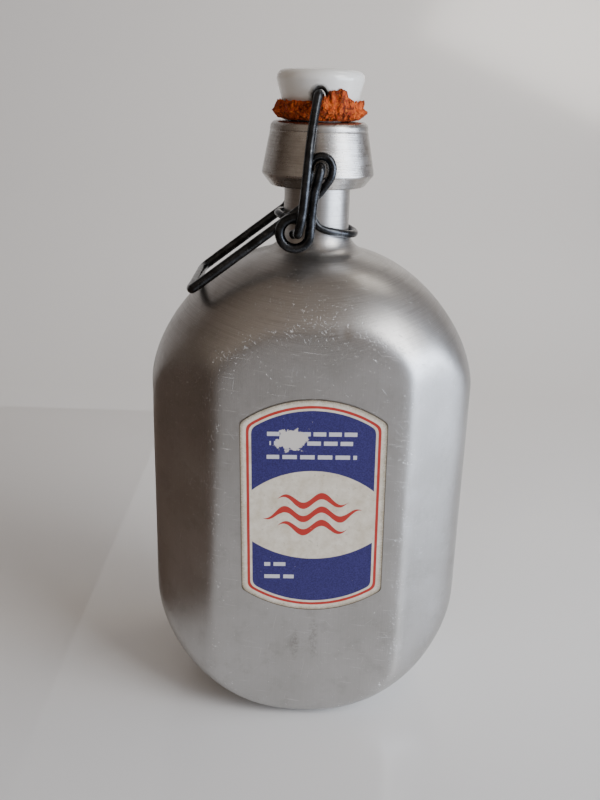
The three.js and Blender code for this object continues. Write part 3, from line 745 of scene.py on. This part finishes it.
def printedPaper():
    # Offset-printed uncoated paper, yellowed: cream stock with grey-brown foxing and a dark
    # glue-stained rim, blue and red ink rubbed thin, and one place where the face has torn away.
    material, shader, add, place = startMaterial("printedPaper", **{
        "Roughness": 0.5, "Specular IOR Level": 0.4})
    soft = 0.08  # how far an ink edge spreads, in mm
    axes = add("SeparateXYZ", place).node.outputs
    wobble = add("MapRange", add("TexNoise", place, 1 / 1.2, 2.0, 0.5), 0.0, 1.0, -0.06, 0.06)
    u, v = axes["X"], add("Math", axes["Z"], wobble, operation="ADD")
    left = add("Math", u, operation="ABSOLUTE")
    half, apex = label["width"] / 2, label["height"] / 2
    rise = apex - label["straight"] / 2
    rim = add("Math", outsideArc(add, u, v, half, rise, apex, True),
              outsideArc(add, u, v, half, rise, -apex, False), 0.5, operation="SMOOTH_MAX")
    rim = add("Math", rim, add("Math", left, half, operation="SUBTRACT"), 2.4, operation="SMOOTH_MAX")

    lens = label["lens"]
    inLens = add("Math", outsideArc(add, u, v, lens["halfWidth"], lens["topRise"], lens["topApex"], True),
                 outsideArc(add, u, v, lens["halfWidth"], lens["bottomRise"], lens["bottomApex"], False),
                 operation="MAXIMUM")
    field = label["field"]
    blue = add("Math", add("MapRange", rim, -field - soft, -field + soft, 1.0, 0.0),
               add("MapRange", inLens, -soft, soft, 0.0, 1.0), operation="MULTIPLY")
    near, far = label["redLine"]
    fromLine = add("Math", add("Math", rim, (near + far) / 2, operation="ADD"), operation="ABSOLUTE")
    red = add("MapRange", fromLine, (far - near) / 2 - soft, (far - near) / 2 + soft, 1.0, 0.0)

    # a plain device of three red waves in the middle
    wave = add("Math", add("Math", u, 2 * math.pi / 13, operation="MULTIPLY"), operation="SINE")
    for middle, reach in ((3.2, 13.0), (-2.0, 18.0), (-7.2, 13.0)):
        away = add("Math", v, add("Math", wave, 1.9, middle, operation="MULTIPLY_ADD"), operation="SUBTRACT")
        thick = add("MapRange", left, reach - 7, reach, 1.25, -0.1)
        away = add("Math", add("Math", away, operation="ABSOLUTE"), thick, operation="SUBTRACT")
        red = add("Math", red, add("MapRange", away, -soft, soft, 1.0, 0.0), operation="MAXIMUM")

    # rows of plain white bars in the blue, in place of words: height, thickness, left and right
    bars = None
    for row, (z, start, end) in enumerate(((28.3, -16, 15), (24.9, -15, 13.5), (19.8, -16, 15),
                                           (-22, -17, -9.5), (-27, -17, -6.5))):
        away = add("Math", add("Math", v, z, operation="SUBTRACT"), operation="ABSOLUTE")
        bar = add("MapRange", away, 0.75 - soft, 0.75 + soft, 1.0, 0.0)
        fromMiddle = add("Math", u, (start + end) / 2, operation="SUBTRACT")
        fromMiddle = add("Math", fromMiddle, operation="ABSOLUTE")
        inside = add("MapRange", fromMiddle, (end - start) / 2, (end - start) / 2 + soft, 1.0, 0.0)
        step = add("Math", add("Math", u, 1 / (5.3 + row * 0.4), row * 0.37, operation="MULTIPLY_ADD"),
                   operation="FRACT")
        dash = add("MapRange", step, 0.8, 0.83, 1.0, 0.0)
        bar = add("Math", bar, add("Math", inside, dash, operation="MULTIPLY"), operation="MULTIPLY")
        bars = add("Math", bars, bar, operation="MAXIMUM") if bars else bar

    # the stock, browned at the rim, then the inks
    fibre = add("TexNoise", place, 1 / 0.4, 3.0, 0.7)
    aged = add("MapRange", add("TexNoise", place, 1 / 5, 5.0, 0.7), 0.35, 0.75, 0.0, 1.0)
    colour = add("Mix", aged, srgb("e2dbcc"), srgb("c4b79f"), data_type="RGBA")
    foxing = add("MapRange", add("TexNoise", place, 1 / 1.5, 4.0, 0.7), 0.6, 0.72, 0.0, 0.5)
    glue = add("Math", rim, add("MapRange", fibre, 0.3, 0.7, -0.5, 0.5), operation="ADD")
    glue = add("MapRange", glue, -1.5, 0.0, 0.0, 0.8)
    dirt = add("MapRange", rim, -0.45, -0.1, 0.0, 0.85)
    ink = add("Mix", add("MapRange", fibre, 0.4, 0.7, 0.0, 1.0), srgb("262159"), srgb("3b3678"),
              data_type="RGBA")
    for amount, tint in ((foxing, srgb("94866c")), (glue, srgb("6f6049")), (dirt, srgb("3c342a")),
                         (blue, ink),
                         (add("Math", red, 0.96, operation="MULTIPLY"), srgb("b0150f")),
                         (add("Math", bars, 0.85, operation="MULTIPLY"), srgb("d9d8dc"))):
        colour = add("Mix", amount, colour, tint, data_type="RGBA")

    # rubbed specks, and the torn patch
    speck = add("MapRange", add("TexNoise", place, 1 / 0.9, 4.0, 0.75), 0.69, 0.74, 0.0, 0.6)
    tornU, tornV = label["tornSpot"]
    spot = add("VectorMath", place, (tornU, 0, tornV), operation="SUBTRACT")
    reach = add("VectorMath", add("VectorMath", spot, (1, 0, 1.35), operation="MULTIPLY"),
                operation="LENGTH", out="Value")
    ragged = add("MapRange", add("TexNoise", place, 1 / 3.2, 4.0, 0.7), 0.0, 1.0, -6.5, 6.5)
    reach = add("Math", reach, ragged, operation="ADD")
    torn = add("MapRange", reach, label["tornRadius"] - 0.3, label["tornRadius"] + 0.3, 1.0, 0.0)
    bare = add("Math", torn, speck, operation="MAXIMUM")
    colour = add("Mix", bare, colour, srgb("cfcac4"), data_type="RGBA")
    height = add("Math", fibre, 0.5, add("Math", bare, -1.0, operation="MULTIPLY"), operation="MULTIPLY_ADD")
    return finishMaterial(material, shader, colour, None, height, 0.05)


labelSheet(printedPaper())
print("label made")


stage = {
    "floorColour": "e6e5e3", "sweepStart": 0.35, "sweepRadius": 0.5, "reach": 4.0, "backdropTop": 2.5,
    "cardFrom": (-1.4, -1.2), "cardTo": (-0.1, 0.3), "cardColour": "77665a",
    "cameraSide": -4.0, "cameraBack": 322.1, "cameraHeight": 230.5,
    "pitch": 19.48, "roll": 1.59, "lens": 40.5,
    # name, place, target, size, watts, colour and spread in degrees
    "lights": (
        ("window", (0.7, -0.28, 0.2), (0, 0, 0.12), (0.72, 0.36), 4.6, "e2edff", 150),
        ("softbox", (0.62, -0.42, 0.55), (0.02, 0, 0.06), (0.45, 0.45), 1.0, "ffffff", 80),
        ("wallLight", (0.5, 0.25, 1.0), (0.1, 0.8, 0.3), (0.5, 0.3), 2, "fff8ee", 110),
    ),
    "roomColour": "594c42",
    # towards, where the glow starts and is full, its strength and its colour
    "glows": (((-0.15, -0.84, 0.52), 0.35, 1.0, 0.55, "ccbfb2"), ((0.9, -0.4, 0.1), 0.5, 1.0, 0.9, "dceaff")),
}


def makeFloor():
    # a pale floor that curves up into a backdrop behind
    reach, start, radius = stage["reach"], stage["sweepStart"], stage["sweepRadius"]
    outline = [(-reach, 0)] + [(start + radius * math.sin(a), radius * (1 - math.cos(a)))
                               for a in np.linspace(0, math.pi / 2, 25)]
    outline.append((start + radius, stage["backdropTop"]))
    points = [(x, y, z) for y, z in outline for x in (-reach, reach)]
    faces = [(2 * i, 2 * i + 1, 2 * i + 3, 2 * i + 2) for i in range(len(outline) - 1)]
    mesh = bpy.data.meshes.new("floor")
    mesh.from_pydata(points, [], faces)
    mesh.shade_smooth()
    floor = bpy.data.objects.new("floor", mesh)
    bpy.context.scene.collection.objects.link(floor)
    mesh.materials.append(plainMaterial("paleTable", stage["floorColour"], 0.16))


def plainMaterial(name, colour, roughness):
    material, shader, _, _ = startMaterial(name, Roughness=roughness)
    shader.inputs["Base Color"].default_value = srgb(colour)
    return material


def makeCard():
    # a dark card on the left of the table, which only the metal's reflections show
    (left, front), (right, back) = stage["cardFrom"], stage["cardTo"]
    corners = [(left, front, 0.001), (right, front, 0.001), (right, back, 0.001), (left, back, 0.001)]
    mesh = bpy.data.meshes.new("darkCard")
    mesh.from_pydata(corners, [], [(0, 1, 2, 3)])
    card = bpy.data.objects.new("darkCard", mesh)
    bpy.context.scene.collection.objects.link(card)
    mesh.materials.append(plainMaterial("darkCard", stage["cardColour"], 0.8))
    card.visible_camera = card.visible_diffuse = card.visible_shadow = False


def makeLight(name, place, target, size, power, colour, spread):
    data = bpy.data.lights.new(name, "AREA")
    data.shape, data.size, data.size_y = "RECTANGLE", size[0], size[1]
    data.energy, data.color, data.spread = power, srgb(colour)[:3], math.radians(spread)
    light = bpy.data.objects.new(name, data)
    bpy.context.scene.collection.objects.link(light)
    light.location = place
    light.rotation_euler = (Vector(target) - Vector(place)).to_track_quat("-Z", "Y").to_euler()


def makeRoom():
    # a dim warm room, lighter above the front and cool towards the window on the right
    world = bpy.data.worlds.new("room")
    world.use_nodes = True
    tree = world.node_tree
    add = partial(addNode, tree)
    way = add("TexCoord", out="Generated")
    colour = srgb(stage["roomColour"])
    for towards, low, high, strength, tint in stage["glows"]:
        facing = add("VectorMath", way, towards, operation="DOT_PRODUCT", out="Value")
        glow = add("MapRange", facing, low, high, 0.0, strength)
        tinted = add("Mix", glow, (0, 0, 0, 1), srgb(tint), data_type="RGBA", clamp_factor=False)
        colour = add("Mix", 1.0, colour, tinted, data_type="RGBA", blend_type="ADD")
    background = tree.nodes["Background"]
    tree.links.new(colour, background.inputs["Color"])
    background.inputs["Strength"].default_value = 1.0
    bpy.context.scene.world = world


def makeCamera():
    data = bpy.data.cameras.new("camera")
    data.lens = stage["lens"]
    camera = bpy.data.objects.new("camera", data)
    bpy.context.scene.collection.objects.link(camera)
    place = Vector((stage["cameraSide"], -stage["cameraBack"], stage["cameraHeight"])) * mm
    camera.matrix_world = (Matrix.Translation(place)
                           @ Matrix.Rotation(math.radians(90 - stage["pitch"]), 4, "X")
                           @ Matrix.Rotation(math.radians(stage["roll"]), 4, "Z"))
    bpy.context.scene.camera = camera


makeFloor()
makeCard()
for light in stage["lights"]:
    makeLight(*light)
makeRoom()
makeCamera()
print("stage made")
